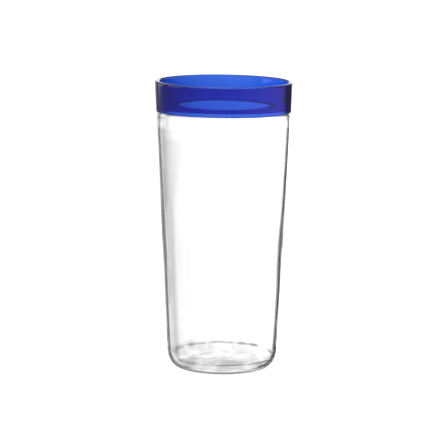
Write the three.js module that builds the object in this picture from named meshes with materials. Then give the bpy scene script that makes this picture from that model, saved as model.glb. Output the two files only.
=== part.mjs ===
// A tall hand-blown drinking tumbler: a clear tapered glass vessel, open at the top,
// with a band of cobalt-blue glass fused round its lip.
// Units are millimetres and +Z is up. The origin is the centre of the foot, on the
// surface that the glass stands on.
import * as THREE from 'three';

// Driving dimensions
const height = 178;
const lipRadius = 42.5;
const lipReach = 1.4;
const lipRise = 0.8;
const bandHeight = 18.4;
const bandFootRadius = 41.62;
const bandEdgeRound = 0.25;
const wallFootRadius = 33.81;
const wallTaper = 0.048;
const drawnIn = 0.28;
const drawnInHeight = 157.5;
const drawnInStart = 150;
const thinWall = 1.6;
const lowerWall = 2.0;
const heelWall = 1.9;
const shoulderWall = 1.8;
const jointWall = 2.7;
const bulgeWall = 3.2;
const bulgeHeight = 164.4;
const heelHeight = 11.7;
const footRadius = 27.2;
const floorThickness = 2.2;
const puntRadius = 20;
const puntRise = 1.0;
const jointGap = 0.3;
const turnSteps = 72;
const arcSteps = 4;

// Derived sizes
const jointZ = height - bandHeight;
const vesselTopZ = jointZ - jointGap / 2;
const bandFootZ = jointZ + jointGap / 2;
const jointOuterRadius = bandFootRadius - bandEdgeRound;

// Radius of the straight cone that the whole outside leans along.
function coneRadius(z) {
  return wallFootRadius + wallTaper * z;
}

// A point on the inside of the glass at one height, given the thickness there.
function insidePoint(z, thickness) {
  return new THREE.Vector2(coneRadius(z) - thickness, z);
}

// The heel is a quarter ellipse. It stops where its tangent leans like the wall above.
function addHeel(outline) {
  const reach = coneRadius(heelHeight) - footRadius;
  const endAngle = -Math.atan((wallTaper * heelHeight) / reach);
  outline.absellipse(footRadius, heelHeight, reach, heelHeight, -Math.PI / 2, endAngle, false, 0);
}

// The outside draws in a little under the band.
function addOuterWall(outline) {
  outline.lineTo(coneRadius(drawnInStart), drawnInStart);
  outline.splineThru([
    new THREE.Vector2(coneRadius(drawnInHeight) - drawnIn, drawnInHeight),
    new THREE.Vector2(jointOuterRadius, vesselTopZ),
  ]);
}

// The wall is thick at the joint, thin over most of its height and thicker again low down.
function addInnerWall(outline) {
  outline.lineTo(coneRadius(vesselTopZ) - jointWall, vesselTopZ);
  outline.splineThru([
    insidePoint(154, shoulderWall),
    insidePoint(148, thinWall),
    insidePoint(110, thinWall),
    insidePoint(70, lowerWall),
    insidePoint(heelHeight, heelWall),
  ]);
}

// The inside of the floor follows the underside at one thickness.
function addFloor(outline) {
  const reach = coneRadius(heelHeight) - heelWall - footRadius;
  outline.absellipse(footRadius, heelHeight, reach, heelHeight - floorThickness, 0, -Math.PI / 2, true, 0);
  outline.lineTo(puntRadius, floorThickness);
  outline.quadraticCurveTo(puntRadius / 2, floorThickness + puntRise, 0, floorThickness + puntRise);
}

// Half section of the clear vessel, from the underside's middle to the floor's middle.
function vesselOutline() {
  const outline = new THREE.Path();
  outline.moveTo(0, puntRise);
  outline.quadraticCurveTo(puntRadius / 2, puntRise, puntRadius, 0);
  outline.lineTo(footRadius, 0);
  addHeel(outline);
  addOuterWall(outline);
  addInnerWall(outline);
  addFloor(outline);
  return outline.getPoints(arcSteps);
}

// Section of the band: it stands a little proud of the clear wall, bulges inwards above the
// joint and ends in a rounded lip.
function bandOutline() {
  const outline = new THREE.Path();
  const lipEdgeZ = height - lipRise;
  outline.moveTo(coneRadius(bandFootZ) - jointWall, bandFootZ);
  outline.lineTo(jointOuterRadius, bandFootZ);
  outline.absarc(jointOuterRadius, bandFootZ + bandEdgeRound, bandEdgeRound, -Math.PI / 2, 0, false);
  outline.lineTo(lipRadius, lipEdgeZ);
  outline.absellipse(lipRadius - lipReach, lipEdgeZ, lipReach, lipRise, 0, Math.PI, false, 0);
  outline.splineThru([
    insidePoint(bulgeHeight + 5, jointWall + 0.1),
    insidePoint(bulgeHeight, bulgeWall),
    insidePoint(bandFootZ, jointWall),
  ]);
  return outline.getPoints(arcSteps);
}

// Points that repeat where one curve meets the next are kept once.
function withoutRepeats(points) {
  return points.filter((point, index) => index === 0 || point.distanceTo(points[index - 1]) > 1e-6);
}

function turned(name, points, material) {
  const geometry = new THREE.LatheGeometry(withoutRepeats(points), turnSteps);
  geometry.rotateX(Math.PI / 2);
  const mesh = new THREE.Mesh(geometry, material);
  mesh.name = name;
  return mesh;
}

const clearGlass = new THREE.MeshStandardMaterial({
  color: 0xf2f7f6, roughness: 0.03, metalness: 0, transparent: true, opacity: 0.3,
});
const cobaltGlass = new THREE.MeshStandardMaterial({
  color: 0x1f2fb8, roughness: 0.04, metalness: 0, transparent: true, opacity: 0.85,
});

const tumbler = new THREE.Group();
tumbler.add(turned('clear_vessel', vesselOutline(), clearGlass));
tumbler.add(turned('cobalt_lip_band', bandOutline(), cobaltGlass));

export default tumbler;
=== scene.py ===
import math

import bmesh
import bpy
from mathutils import Matrix, Vector


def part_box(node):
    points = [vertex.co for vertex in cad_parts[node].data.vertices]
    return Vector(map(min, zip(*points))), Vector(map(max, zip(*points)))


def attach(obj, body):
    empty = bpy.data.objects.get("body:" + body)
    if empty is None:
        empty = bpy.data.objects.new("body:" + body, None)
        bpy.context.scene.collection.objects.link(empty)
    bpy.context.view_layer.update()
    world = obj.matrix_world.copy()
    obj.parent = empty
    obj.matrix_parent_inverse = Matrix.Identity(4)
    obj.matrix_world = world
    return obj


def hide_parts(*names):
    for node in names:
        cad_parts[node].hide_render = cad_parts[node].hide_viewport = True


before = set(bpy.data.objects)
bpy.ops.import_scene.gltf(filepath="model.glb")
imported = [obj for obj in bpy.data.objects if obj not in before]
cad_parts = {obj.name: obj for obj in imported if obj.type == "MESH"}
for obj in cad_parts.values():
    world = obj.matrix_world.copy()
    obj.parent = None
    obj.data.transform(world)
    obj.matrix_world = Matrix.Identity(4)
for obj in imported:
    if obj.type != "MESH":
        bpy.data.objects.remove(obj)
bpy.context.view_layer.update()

MM = 0.001
TURN = 2 * math.pi

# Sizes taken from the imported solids
vessel_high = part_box("clear_vessel")[1]
band_low, band_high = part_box("cobalt_lip_band")
height = band_high.z
lip_radius = band_high.x
joint_z = (vessel_high.z + band_low.z) / 2

# Sizes of the section
wall_taper = 0.048
wall_foot_radius = 33.81 * MM
band_edge_round = 0.25 * MM
band_foot_radius = 41.62 * MM
lip_reach = 1.4 * MM
lip_rise = 0.8 * MM
heel_height = 11.7 * MM
foot_radius = 27.2 * MM
floor_thickness = 2.2 * MM
punt_radius = 20 * MM
punt_rise = 1.0 * MM
joint_gap = 0.02 * MM

# Heights in millimetres, and how far the outside of the clear wall draws in under the band
DRAWN_IN = [(150.0, 0.0), (154.0, 0.12), (157.5, 0.28), (160.0, 0.1)]
# Heights in millimetres, and the thickness of glass inside the outer cone
THICKNESS = [(11.7, 1.9), (30.0, 1.8), (70.0, 2.0), (110.0, 1.6), (149.0, 1.6), (154.0, 1.8),
             (157.5, 2.35), (159.6, 2.7), (161.6, 2.72), (162.45, 2.86), (163.4, 3.04),
             (164.2, 3.14), (165.0, 3.2), (166.0, 3.21), (167.0, 3.17), (169.5, 3.04),
             (176.5, 2.62)]

# Fineness of the turned meshes
TURN_STEPS = 256
HEEL_OUTSIDE_STEPS = 40
HEEL_INSIDE_STEPS = 80
FLOOR_STEPS = 40
WALL_OUTSIDE_STEPS = 80
WALL_INSIDE_STEPS = 140
# Above 1, this crowds the rings of the inner wall towards the joint, where it curves most
WALL_CROWDING = 1.5
JOINT_STEPS = 4
BAND_EDGE_STEPS = 10
BAND_OUTSIDE_STEPS = 24
BAND_INSIDE_STEPS = 60
LIP_STEPS = 24


# ---------------------------------------------------------------- sections

def line(start, end, steps):
    """Points after start up to end, evenly spaced."""
    return [
        (start[0] + (end[0] - start[0]) * i / steps, start[1] + (end[1] - start[1]) * i / steps)
        for i in range(1, steps + 1)
    ]


def ellipse(centre, reach, rise, first, last, steps):
    """Points of an elliptical arc, from the angle first to the angle last, without the first point."""
    points = []
    for i in range(1, steps + 1):
        angle = first + (last - first) * i / steps
        points.append((centre[0] + reach * math.cos(angle), centre[1] + rise * math.sin(angle)))
    return points


def smooth_value(table, at):
    """A smooth cubic through (position, value) pairs in rising order of position."""
    if at <= table[0][0]:
        return table[0][1]
    if at >= table[-1][0]:
        return table[-1][1]
    slopes = []
    for i in range(len(table)):
        before, after = table[max(i - 1, 0)], table[min(i + 1, len(table) - 1)]
        slopes.append((after[1] - before[1]) / (after[0] - before[0]))
    for i in range(len(table) - 1):
        (x0, y0), (x1, y1) = table[i], table[i + 1]
        if x0 <= at <= x1:
            h = x1 - x0
            t = (at - x0) / h
            return ((2 * t**3 - 3 * t**2 + 1) * y0 + (t**3 - 2 * t**2 + t) * h * slopes[i]
                    + (3 * t**2 - 2 * t**3) * y1 + (t**3 - t**2) * h * slopes[i + 1])


def cone_radius(z):
    return wall_foot_radius + wall_taper * z


def outer_radius(z):
    """Outside of the clear wall: a cone, drawn in a little under the band."""
    return cone_radius(z) - MM * smooth_value(DRAWN_IN, z / MM)


def inner_radius(z):
    """Inside of the wall, from the lip down to the heel."""
    return cone_radius(z) - MM * smooth_value(THICKNESS, z / MM)


def under_z(radius):
    """Underside of the floor, pushed up in the middle."""
    if radius >= punt_radius:
        return 0.0
    return punt_rise * (0.5 + 0.5 * math.cos(math.pi * radius / punt_radius))


def vessel_section():
    """From the middle of the underside, round the outside and down the inside to the middle of
    the floor. Returns the points and the numbers of the first inside point and first joint point."""
    points = [(0.0, punt_rise)]
    for i in range(1, FLOOR_STEPS + 1):
        radius = foot_radius * i / FLOOR_STEPS
        points.append((radius, under_z(radius)))
    reach = outer_radius(heel_height) - foot_radius
    heel_end = -math.atan(wall_taper * heel_height / reach)
    points += ellipse((foot_radius, heel_height), reach, heel_height, -math.pi / 2, heel_end,
                      HEEL_OUTSIDE_STEPS)
    top_z = joint_z - joint_gap / 2
    start_z = points[-1][1]
    for i in range(1, WALL_OUTSIDE_STEPS + 1):
        z = start_z + (top_z - start_z) * i / WALL_OUTSIDE_STEPS
        points.append((outer_radius(z), z))
    joint = len(points) - 1
    points += line(points[-1], (inner_radius(top_z), top_z), JOINT_STEPS)
    for i in range(1, WALL_INSIDE_STEPS + 1):
        z = top_z + (heel_height - top_z) * (i / WALL_INSIDE_STEPS) ** WALL_CROWDING
        points.append((inner_radius(z), z))
    corner_radius = inner_radius(heel_height)
    points += ellipse((foot_radius, heel_height), corner_radius - foot_radius,
                      heel_height - floor_thickness, 0, -math.pi / 2, HEEL_INSIDE_STEPS)
    for i in range(FLOOR_STEPS - 1, -1, -1):
        radius = foot_radius * i / FLOOR_STEPS
        points.append((radius, floor_thickness + under_z(radius)))
    return points, joint + JOINT_STEPS, joint


def band_section():
    """Closed section of the band, starting with its joint face and going up the outside.
    Returns the same three values as vessel_section."""
    foot_z = joint_z + joint_gap / 2
    inner_foot = (inner_radius(foot_z), foot_z)
    points = [inner_foot]
    points += line(points[-1], (outer_radius(foot_z), foot_z), JOINT_STEPS)
    step = band_foot_radius - outer_radius(foot_z)
    points += ellipse((outer_radius(foot_z), foot_z + band_edge_round), step, band_edge_round,
                      -math.pi / 2, 0, BAND_EDGE_STEPS)
    lip_z = height - lip_rise
    points += line(points[-1], (lip_radius, lip_z), BAND_OUTSIDE_STEPS)
    points += ellipse((lip_radius - lip_reach, lip_z), lip_reach, lip_rise, 0, math.pi, LIP_STEPS)
    inside_start = len(points)
    for i in range(1, BAND_INSIDE_STEPS + 1):
        z = lip_z + (foot_z - lip_z) * i / BAND_INSIDE_STEPS
        points.append((inner_radius(z), z))
    return points[:-1], inside_start, 0


# ---------------------------------------------------------------- meshes

# What hand blowing left: sizes of the irregularities, with the height and spread of each.
# Angles in radians, from +X.
OVALITY, OVALITY_PHASE = 0.10 * MM, 1.1
RIM_TILT, RIM_TILT_FROM = 0.3 * MM, 0.85
EDGE_WAVE, EDGE_WAVE_SPREAD, EDGE_WAVE_PHASE = 0.15 * MM, 12 * MM, 0.8
THICK_SPOT, THICK_SPOT_Z, THICK_SPOT_SPREAD = 0.12 * MM, 68 * MM, 16 * MM
# A low broken ridge inside the heel, mostly on the +Y side
RIDGE, RIDGE_Z, RIDGE_SPREAD = 0.45 * MM, 6.6 * MM, 0.45 * MM
RIDGE_LEAST, RIDGE_GAIN = 0.15, 1.3


def swell(value, middle, spread):
    """A smooth hump: 1 at the middle, falling away over the spread."""
    return math.exp(-((value - middle) / spread) ** 2)


def blown(radius, z, angle, inside):
    """Moves a point of the true turned shape to where hand blowing left it."""
    up = z / height
    across, away = math.cos(angle), math.sin(angle)
    radius += OVALITY * up * math.cos(2 * angle - OVALITY_PHASE)
    z -= RIM_TILT * across * max(0, up - RIM_TILT_FROM) / (1 - RIM_TILT_FROM)
    wave = EDGE_WAVE * math.sin(3 * angle + EDGE_WAVE_PHASE)
    z += wave * swell(z, joint_z, EDGE_WAVE_SPREAD)
    if inside:
        beside = (0.5 + 0.5 * across) ** 2
        radius -= THICK_SPOT * swell(z, THICK_SPOT_Z, THICK_SPOT_SPREAD) * beside
        behind = min(1, max(0, RIDGE_LEAST + RIDGE_GAIN * away))
        broken = 0.75 + 0.4 * math.sin(7 * angle + 0.6) + 0.3 * math.sin(17 * angle)
        broken = min(1, max(0, broken))
        radius -= RIDGE * swell(z, RIDGE_Z, RIDGE_SPREAD) * broken * behind
    return radius, z


def turned(name, closed, points, inside_start, joint_start):
    """Turns a section about Z into a closed mesh. Points from inside_start on lie on its inner
    surface. Faces of the joint take the second material."""
    mesh = bpy.data.meshes.new(name)
    shape = bmesh.new()
    rings = []
    for index, (radius, z) in enumerate(points):
        if radius == 0:
            rings.append([shape.verts.new((0, 0, z))])
            continue
        ring = []
        for step in range(TURN_STEPS):
            angle = TURN * step / TURN_STEPS
            reach, rise = blown(radius, z, angle, index >= inside_start)
            ring.append(shape.verts.new((reach * math.cos(angle), reach * math.sin(angle), rise)))
        rings.append(ring)
    pairs = len(rings) if closed else len(rings) - 1
    for index in range(pairs):
        low, high = rings[index], rings[(index + 1) % len(rings)]
        on_joint = joint_start <= index < joint_start + JOINT_STEPS
        for step in range(TURN_STEPS):
            after = (step + 1) % TURN_STEPS
            if len(low) == 1:
                corners = (low[0], high[after], high[step])
            elif len(high) == 1:
                corners = (low[step], low[after], high[0])
            else:
                corners = (low[step], low[after], high[after], high[step])
            face = shape.faces.new(corners)
            face.smooth = not on_joint
            face.material_index = int(on_joint)
    bmesh.ops.recalc_face_normals(shape, faces=shape.faces)
    shape.to_mesh(mesh)
    shape.free()
    piece = bpy.data.objects.new(name, mesh)
    bpy.context.scene.collection.objects.link(piece)
    return piece


# ---------------------------------------------------------------- materials

def new_material(name):
    material = bpy.data.materials.new(name)
    material.use_nodes = True
    nodes = material.node_tree.nodes
    nodes.clear()
    output = nodes.new("ShaderNodeOutputMaterial")
    return material, nodes, material.node_tree.links, output


def math_node(nodes, links, operation, first, second=None):
    node = nodes.new("ShaderNodeMath")
    node.operation = operation
    for socket, value in zip(node.inputs, (first, second)):
        if value is None:
            continue
        if isinstance(value, (int, float)):
            socket.default_value = value
        else:
            links.new(value, socket)
    return node.outputs["Value"]


def step_node(nodes, links, value, low, high):
    """A soft step: 0 below low and 1 above high."""
    node = nodes.new("ShaderNodeMapRange")
    node.interpolation_type = "SMOOTHSTEP"
    node.inputs["From Min"].default_value = low
    node.inputs["From Max"].default_value = high
    links.new(value, node.inputs["Value"])
    return node.outputs["Result"]


def grey_patches(nodes, links, place):
    """Grey diffuse patches in the glass: a broken ring all round the heel, and fainter ones below it,
    on the floor.
    """
    split = nodes.new("ShaderNodeSeparateXYZ")
    links.new(place, split.inputs["Vector"])
    cloud = nodes.new("ShaderNodeTexNoise")
    cloud.inputs["Scale"].default_value = CLOUD_SCALE
    cloud.inputs["Detail"].default_value = 3
    links.new(place, cloud.inputs["Vector"])
    patches = step_node(nodes, links, cloud.outputs["Fac"], *CLOUD_STEP)
    off_ring = math_node(nodes, links, "SUBTRACT", split.outputs["Z"], RING_Z)
    off_ring = math_node(nodes, links, "ABSOLUTE", off_ring)
    outside = step_node(nodes, links, off_ring, 0.1 * MM, RING_SPREAD)
    ring = math_node(nodes, links, "SUBTRACT", 1, outside)
    above = step_node(nodes, links, split.outputs["Z"], RING_Z, CLOUD_TOP)
    low = math_node(nodes, links, "SUBTRACT", 1, above)
    cloudy = math_node(nodes, links, "MAXIMUM",
                       math_node(nodes, links, "MULTIPLY", ring, RING_GREY),
                       math_node(nodes, links, "MULTIPLY", low, GLASS_FLOOR_GREY))
    return math_node(nodes, links, "MULTIPLY", patches, cloudy)


def add_absorption(nodes, links, output, colour, density):
    volume = nodes.new("ShaderNodeVolumeAbsorption")
    volume.inputs["Color"].default_value = (*colour, 1)
    volume.inputs["Density"].default_value = density
    links.new(volume.outputs["Volume"], output.inputs["Volume"])


def glass(name, colour, density, haze, haze_colour):
    """Fire-polished glass, coloured through its depth, with the faint waviness of blown glass.
    The haze is the little light that the glass scatters at its skin, stronger in the grey patches."""
    material, nodes, links, output = new_material(name)
    place = nodes.new("ShaderNodeTexCoord")
    waves = nodes.new("ShaderNodeTexNoise")
    waves.inputs["Scale"].default_value = WAVE_SCALE
    waves.inputs["Detail"].default_value = 1
    links.new(place.outputs["Object"], waves.inputs["Vector"])
    bump = nodes.new("ShaderNodeBump")
    bump.inputs["Strength"].default_value = 1
    bump.inputs["Distance"].default_value = WAVINESS
    links.new(waves.outputs["Fac"], bump.inputs["Height"])
    shader = nodes.new("ShaderNodeBsdfPrincipled")
    shader.inputs["Base Color"].default_value = (1, 1, 1, 1)
    shader.inputs["Transmission Weight"].default_value = 1
    shader.inputs["IOR"].default_value = GLASS_IOR
    shader.inputs["Roughness"].default_value = 0.0
    links.new(bump.outputs["Normal"], shader.inputs["Normal"])
    skin = nodes.new("ShaderNodeBsdfDiffuse")
    skin.inputs["Color"].default_value = (*haze_colour, 1)
    both = nodes.new("ShaderNodeMixShader")
    patchy = nodes.new("ShaderNodeMapRange")
    patchy.inputs["To Min"].default_value = haze * (1 - HAZE_VARIES)
    patchy.inputs["To Max"].default_value = haze * (1 + HAZE_VARIES)
    links.new(waves.outputs["Fac"], patchy.inputs["Value"])
    grey_mix = grey_patches(nodes, links, place.outputs["Object"])
    scattered = math_node(nodes, links, "MAXIMUM", patchy.outputs["Result"], grey_mix)
    links.new(scattered, both.inputs["Fac"])
    links.new(shader.outputs["BSDF"], both.inputs[1])
    links.new(skin.outputs["BSDF"], both.inputs[2])
    links.new(both.outputs["Shader"], output.inputs["Surface"])
    add_absorption(nodes, links, output, colour, density)
    return material


def fused(name, colour, density):
    """The joint face, where one glass has melted into the other and nothing is reflected."""
    material, nodes, links, output = new_material(name)
    clear = nodes.new("ShaderNodeBsdfTransparent")
    links.new(clear.outputs["BSDF"], output.inputs["Surface"])
    add_absorption(nodes, links, output, colour, density)
    return material


CLEAR_TINT = (0.55, 0.8, 0.75)
CLEAR_DENSITY = 3.0
COBALT_TINT = (0.18, 0.51, 0.878)
COBALT_DENSITY = 1600.0
CLEAR_HAZE = 0.003
HAZE_WHITE = (0.35, 0.35, 0.35)
COBALT_HAZE = 0.035
HAZE_BLUE = (0.2, 0.08, 1.0)
HAZE_VARIES = 0.2
GLASS_IOR = 1.52
WAVINESS = 0.05 * MM
WAVE_SCALE = 55
CLOUD_SCALE = 110
CLOUD_STEP = (0.3, 0.65)
CLOUD_TOP = 11 * MM
RING_Z = 6.8 * MM
RING_SPREAD = 0.9 * MM
# How much grey diffuse scattering is mixed into the glass in the ring round the heel and below it
RING_GREY = 0.7
GLASS_FLOOR_GREY = 0.2

vessel = turned("clear_glass_vessel", False, *vessel_section())
vessel.data.materials.append(glass("clear_glass", CLEAR_TINT, CLEAR_DENSITY, CLEAR_HAZE, HAZE_WHITE))
vessel.data.materials.append(fused("clear_glass_joint", CLEAR_TINT, CLEAR_DENSITY))
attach(vessel, "root")
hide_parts("clear_vessel")

band = turned("cobalt_glass_band", True, *band_section())
band.data.materials.append(glass("cobalt_glass", COBALT_TINT, COBALT_DENSITY, COBALT_HAZE, HAZE_BLUE))
band.data.materials.append(fused("cobalt_glass_joint", COBALT_TINT, COBALT_DENSITY))
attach(band, "root")
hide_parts("cobalt_lip_band")


# ---------------------------------------------------------------- stage

# Brightness below the surround, under the glass, overhead, and on the upper wall ahead and beside
BELOW = 0.02
TABLE_GLOW = 1.3
OVERHEAD = 0.45
UPPER_DARK = 0.25
UPPER_SIDE = 0.7
# Degrees down where the white middle of the table begins and is full. Between it and the foot
# of the surround there is a dark ring, and glass seen from that height looks dark.
TABLE_MIDDLE = (44, 48)
# Degrees up where the upper wall, and then the light overhead, begins and is full
UPPER_WALL = (6, 20)
OVERHEAD_LIGHT = (25, 40)
# How far towards +X or -X the upper wall turns from dark to light, as a sine
UPPER_TURNS = (0.5, 0.75)

FLOOR_HALF = 12.0
FLOOR_DROP = 0.1 * MM
FLOOR_COLOUR = (0.9, 0.9, 0.9)
FLOOR_GLOW = 0.8


def make_floor():
    """A pale floor. Light inside the glass doesn't meet it: the glass shows the studio instead."""
    half = FLOOR_HALF
    mesh = bpy.data.meshes.new("floor")
    mesh.from_pydata([(-half, -half, 0), (half, -half, 0), (half, half, 0), (-half, half, 0)],
                     [], [(0, 1, 2, 3)])
    floor = bpy.data.objects.new("floor", mesh)
    floor.location.z = -FLOOR_DROP
    bpy.context.scene.collection.objects.link(floor)
    material, nodes, links, output = new_material("pale_floor")
    shader = nodes.new("ShaderNodeBsdfDiffuse")
    shader.inputs["Color"].default_value = (*FLOOR_COLOUR, 1)
    glow = nodes.new("ShaderNodeEmission")
    glow.inputs["Strength"].default_value = FLOOR_GLOW
    both = nodes.new("ShaderNodeAddShader")
    links.new(shader.outputs["BSDF"], both.inputs[0])
    links.new(glow.outputs["Emission"], both.inputs[1])
    links.new(both.outputs["Shader"], output.inputs["Surface"])
    mesh.materials.append(material)
    floor.visible_transmission = False
    floor.visible_glossy = False


# Brightness of the surround: degrees from +Y towards +X, and brightness. The main camera looks
# towards +Y, so the FRONT tables are what it sees through the glass. The sides are light panels
# with dim gaps. The HIGH tables hold down to 7 degrees below the horizon and the panels from
# there on, apart from a strip between STRIP_TOP and STRIP_FOOT.
FRONT = [(-38, 0.2), (-20, 0.2), (-18, 0.42), (-14, 0.58), (-10, 0.74), (-7, 0.88), (-5.5, 0.95),
         (-4, 1.03), (0, 1.45), (5, 1.8), (14, 2.1), (17.5, 0.05), (48, 0.1)]
HIGH_FRONT = [(-38, 0.2), (-30, 0.2), (-27, 0.68), (-17, 0.7), (-10, 0.85), (-5, 1.2), (0, 1.45),
              (5, 1.8), (11, 2.1), (20, 1.9), (24, 0.08), (48, 0.1)]
LEFT_PANELS = [(-180, 0.6), (-126, 0.6), (-123, 0.15), (-107, 0.15), (-104, 1.2), (-77, 1.2),
               (-74, 0.15), (-61, 0.15), (-58, 1.2), (-41, 1.2)]
RIGHT_PANELS = [(62, 0.7), (95, 0.7), (98, 0.15), (115, 0.15), (118, 1.1), (150, 1.1),
                (153, 0.15), (170, 0.4)]
LEFT_STRIP = [(-180, 0.4), (-135, 0.4), (-110, 0.35), (-90, 0.3), (-60, 0.2), (-45, 0.3)]
RIGHT_STRIP = [(62, 0.4), (80, 0.65), (115, 0.7), (135, 0.6), (160, 0.45)]
HIGH_LEFT = [(-180, 0.35), (-126, 0.35)] + LEFT_PANELS[2:]
HIGH_RIGHT = [(62, 0.25), (178, 0.3)]
# Degrees down where each of these begins and is full
PANELS_TOP = (6.9, 7.3)
STRIP_TOP = (7.5, 8.5)
STRIP_FOOT = (12, 13)
# How far down the surround reaches: degrees from +Y towards +X, and degrees down
SURROUND_REACH = [(-180, 30), (-75, 30), (-65, 55), (-37, 55), (-32, 36), (-16, 36), (-12, 38),
                  (10, 38), (14, 26), (60, 26), (70, 30), (180, 30)]
REACH_SOFTNESS = 2


def mix_node(nodes, links, factor, first, second):
    node = nodes.new("ShaderNodeMix")
    links.new(factor, node.inputs["Factor"])
    for name, value in (("A", first), ("B", second)):
        if isinstance(value, (int, float)):
            node.inputs[name].default_value = value
        else:
            links.new(value, node.inputs[name])
    return node.outputs["Result"]


def round_table(nodes, links, turn, table):
    """Values given at directions round the horizon, joined by straight lines."""
    around = nodes.new("ShaderNodeValToRGB")
    around.color_ramp.interpolation = "LINEAR"
    links.new(turn, around.inputs["Fac"])
    elements = around.color_ramp.elements
    while len(elements) > 1:
        elements.remove(elements[-1])
    top = max(value for _, value in table)
    for index, (degrees, value) in enumerate(table):
        place = degrees / 360 + 0.5
        stop = elements.new(place) if index else elements[0]
        stop.position = place
        stop.color = (value / top, value / top, value / top, 1)
    return math_node(nodes, links, "MULTIPLY", around.outputs["Color"], top)


def sines(angles):
    """The sines of angles in degrees."""
    return [math.sin(math.radians(angle)) for angle in angles]


def make_world():
    """A soft studio: a low surround of light panels and dim gaps, an upper wall, a dimmer light
    overhead, and below it all a dark ring round the white middle of the table."""
    world = bpy.data.worlds.new("studio")
    bpy.context.scene.world = world
    world.use_nodes = True
    nodes, links = world.node_tree.nodes, world.node_tree.links
    nodes.clear()
    output = nodes.new("ShaderNodeOutputWorld")
    background = nodes.new("ShaderNodeBackground")
    background.inputs["Color"].default_value = (1, 1, 1, 1)
    links.new(background.outputs["Background"], output.inputs["Surface"])
    coordinate = nodes.new("ShaderNodeTexCoord")
    split = nodes.new("ShaderNodeSeparateXYZ")
    links.new(coordinate.outputs["Generated"], split.inputs["Vector"])
    angle = math_node(nodes, links, "ARCTAN2", split.outputs["X"], split.outputs["Y"])
    turn = math_node(nodes, links, "MULTIPLY_ADD", angle, 1 / TURN)
    turn.node.inputs[2].default_value = 0.5
    height_sine = split.outputs["Z"]
    down = math_node(nodes, links, "ARCSINE", height_sine)
    down = math_node(nodes, links, "MULTIPLY", down, -math.degrees(1))
    panels = round_table(nodes, links, turn, LEFT_PANELS + FRONT + RIGHT_PANELS)
    strip = round_table(nodes, links, turn, LEFT_STRIP + FRONT + RIGHT_STRIP)
    top = round_table(nodes, links, turn, HIGH_LEFT + HIGH_FRONT + HIGH_RIGHT)
    panels = mix_node(nodes, links, step_node(nodes, links, down, *PANELS_TOP), top, panels)
    in_strip = math_node(nodes, links, "SUBTRACT", step_node(nodes, links, down, *STRIP_TOP),
                         step_node(nodes, links, down, *STRIP_FOOT))
    horizon = mix_node(nodes, links, in_strip, panels, strip)
    side = math_node(nodes, links, "ABSOLUTE", split.outputs["X"])
    beside = step_node(nodes, links, side, *UPPER_TURNS)
    upper = mix_node(nodes, links, beside, UPPER_DARK, UPPER_SIDE)
    lifted = step_node(nodes, links, height_sine, *sines(UPPER_WALL))
    wall = mix_node(nodes, links, lifted, horizon, upper)
    reach = round_table(nodes, links, turn, SURROUND_REACH)
    beyond = math_node(nodes, links, "SUBTRACT", down, reach)
    sunk = step_node(nodes, links, beyond, -REACH_SOFTNESS, REACH_SOFTNESS)
    middle = step_node(nodes, links, down, *TABLE_MIDDLE)
    underneath = mix_node(nodes, links, middle, BELOW, TABLE_GLOW)
    lower = mix_node(nodes, links, sunk, wall, underneath)
    high = step_node(nodes, links, height_sine, *sines(OVERHEAD_LIGHT))
    strength = mix_node(nodes, links, high, lower, OVERHEAD)
    links.new(strength, background.inputs["Strength"])


# The camera, fitted to the outline of the glass: degrees, millimetres of lens, and metres
CAMERA_PITCH = 9.417
CAMERA_ROLL = 0.4005
CAMERA_LENS = 179.3
CAMERA_PLACE = (0.62 * MM, -1.3645, 0.3153)


def make_camera():
    pitch, roll = math.radians(CAMERA_PITCH), math.radians(CAMERA_ROLL)
    data = bpy.data.cameras.new("camera")
    data.sensor_width = 36
    data.lens = CAMERA_LENS
    data.clip_start, data.clip_end = 0.05, 100
    camera = bpy.data.objects.new("camera", data)
    bpy.context.scene.collection.objects.link(camera)
    turn = Matrix.Rotation(math.pi / 2 - pitch, 4, "X") @ Matrix.Rotation(roll, 4, "Z")
    camera.matrix_world = Matrix.Translation(Vector(CAMERA_PLACE)) @ turn
    bpy.context.scene.camera = camera


make_floor()
make_world()
make_camera()
bpy.context.scene.view_settings.view_transform = "Standard"
bpy.context.scene.cycles.max_bounces = 32
bpy.context.scene.cycles.transmission_bounces = 32
bpy.context.scene.cycles.glossy_bounces = 16
